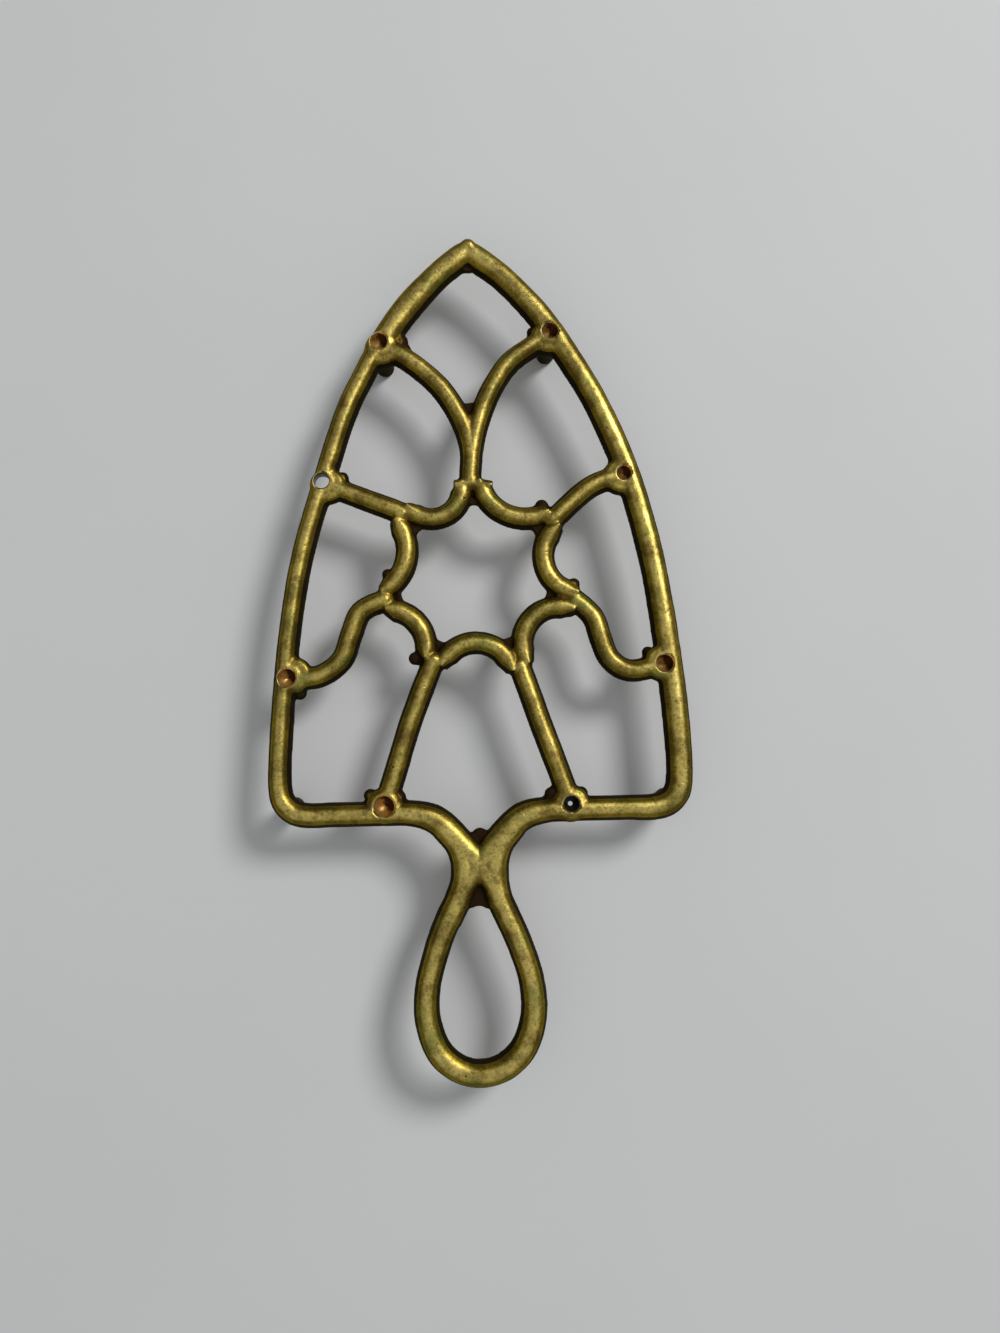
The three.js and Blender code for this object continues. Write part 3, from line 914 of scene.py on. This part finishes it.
def rim_wear_and_highlight():
    """The pale edge of a drilled hole, worn and painted pale as a highlight."""
    look = Look("rim_wear_and_highlight")
    clouds = look.noise(1.5, 4, 0.6, seed=8)
    colour = look.mix(look.ramp(clouds, 0.40, 0.62), RIM_WEAR_AND_HIGHLIGHT, OLIVE)
    look.shade(Base_Color=colour, Metallic=0.8, Roughness=0.45)
    return look.material


# The casting

casting = casting_blank()
casting.data.materials.append(aged_brass("aged_brass"))
hand_finish(casting)
blind_holes = [boss for boss in BOSSES.values() if boss[3] == BLIND]
open_holes = [boss for boss in BOSSES.values() if boss[3] > BLIND]
rim = rim_wear_and_highlight()
drill_holes(casting, blind_holes, drilled_metal("drilled_copper", 0.0), rim)
# The open holes are painted near black, as shade
drill_holes(casting, open_holes, drilled_metal("drilled_shade", 0.95), rim)
mark_recesses(casting)
for face in casting.data.polygons:
    face.use_smooth = True

CASTING_NODES = [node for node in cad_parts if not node.endswith("foot")]
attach(casting, "root")
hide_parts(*CASTING_NODES)


# Feet


def foot(name, metal):
    """A tapered foot that swells where it leaves the plate, in place of its CAD solid."""
    low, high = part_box(name)
    middle = (low + high) / 2
    centre = middle / MM - PLAN_SHIFT
    profile = [*FOOT_SOLE]
    for step in range(SHAFT_STEPS + 1):
        share = step / SHAFT_STEPS
        radius = SHAFT_RADIUS + (SHAFT_TOP_RADIUS - SHAFT_RADIUS) * share**SHAFT_SWELL
        profile.append((radius, SHAFT_START + (FOOT_HEIGHT - SHAFT_START) * share))
    shell = bmesh.new()
    add_turned(shell, (centre.x, centre.y), profile, FOOT_SIDES)
    piece = new_object("turned_" + name, shell)
    for vertex in piece.data.vertices:
        wave = noise.noise(vertex.co * FOOT_WAVES_PER_METRE) * FOOT_WAVE_DEPTH * MM
        outward = vertex.co - middle
        outward.z = 0
        vertex.co += outward.normalized() * wave
    for face in piece.data.polygons:
        face.use_smooth = len(face.vertices) == 4
    mark_recesses(piece)
    piece.data.materials.append(metal)
    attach(piece, "root")
    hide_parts(name)


# The feet are painted darker, as shade under the plate
foot_brass = aged_brass("foot_brass", shade_share=0.8)
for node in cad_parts:
    if node.endswith("foot"):
        foot(node, foot_brass)


# Stage, camera and light, in metres

FLOOR_HALF = 3
FLOOR_GREY = (0.56, 0.568, 0.565, 1)
FLOOR_PALE = (0.60, 0.605, 0.598, 1)

# The camera that was fitted to the photograph's outline: its place in plan millimetres, where it
# looks, which way its picture's right side lies, and its focal length in the photograph's pixels
CAMERA_PLACE = (-3.8, -34.9, 304.9)
CAMERA_AHEAD = (0.0371, 0.0990, -0.9944)
CAMERA_RIGHT = (0.9991, -0.0244, 0.0348)
PHOTO_HEIGHT_PIXELS = 1333
FOCAL_PIXELS = 1030
SENSOR = 36

# A soft key from the upper right, under a dome that is brightest above the handle
KEY_PLACE = (1.32, 1.07, 1.62)
KEY_SIZE = 0.75
KEY_POWER = 35
DOME_LEAN = (0, -0.4, 0.92)
DOME_LOW, DOME_HIGH = 0.16, 0.62
DOME_TINT = (0.97, 0.98, 1, 1)


def stage_floor():
    """A pale painted floor."""
    mesh = bpy.data.meshes.new("floor")
    shell = bmesh.new()
    bmesh.ops.create_grid(shell, x_segments=1, y_segments=1, size=FLOOR_HALF)
    shell.to_mesh(mesh)
    shell.free()
    made = put_in_scene("floor", mesh)
    look = Look("painted_floor")
    look.shade(Base_Color=look.mix(look.noise(90, 3, 0.5), FLOOR_GREY, FLOOR_PALE), Roughness=0.75)
    mesh.materials.append(look.material)


def photo_camera():
    """The camera at the photograph's place."""
    data = bpy.data.cameras.new("camera")
    camera = put_in_scene("camera", data)
    bpy.context.scene.camera = camera
    data.sensor_width = SENSOR
    data.lens = SENSOR * FOCAL_PIXELS / PHOTO_HEIGHT_PIXELS
    data.clip_start, data.clip_end = 0.01, 10
    ahead = Vector(CAMERA_AHEAD).normalized()
    right = Vector(CAMERA_RIGHT)
    right = (right - ahead * right.dot(ahead)).normalized()
    turn = Matrix((right, right.cross(ahead), -ahead)).transposed()
    place = (Vector(CAMERA_PLACE) + PLAN_SHIFT) * MM
    camera.matrix_world = Matrix.Translation(place) @ turn.to_4x4()


def key_light():
    """A round soft lamp that points at the origin."""
    data = bpy.data.lights.new("key", "AREA")
    data.shape = "DISK"
    data.size = KEY_SIZE
    data.energy = KEY_POWER
    lamp = put_in_scene("key", data)
    lamp.location = KEY_PLACE
    lamp.rotation_mode = "QUATERNION"
    lamp.rotation_quaternion = (-Vector(KEY_PLACE)).to_track_quat("-Z", "Y")


def dome_light():
    """A plain world that grows brighter towards one side of the sky."""
    world = bpy.data.worlds.new("studio")
    bpy.context.scene.world = world
    world.use_nodes = True
    tree = world.node_tree
    place = tree.nodes.new("ShaderNodeTexCoord")
    lean = tree.nodes.new("ShaderNodeVectorMath")
    lean.operation = "DOT_PRODUCT"
    lean.inputs[1].default_value = DOME_LEAN
    dome = tree.nodes.new("ShaderNodeMapRange")
    dome.inputs["To Min"].default_value = DOME_LOW
    dome.inputs["To Max"].default_value = DOME_HIGH
    tree.links.new(place.outputs["Generated"], lean.inputs[0])
    tree.links.new(lean.outputs["Value"], dome.inputs["Value"])
    background = tree.nodes["Background"]
    background.inputs["Color"].default_value = DOME_TINT
    tree.links.new(dome.outputs["Result"], background.inputs["Strength"])


stage_floor()
photo_camera()
key_light()
dome_light()
bpy.context.scene.view_settings.view_transform = "Standard"
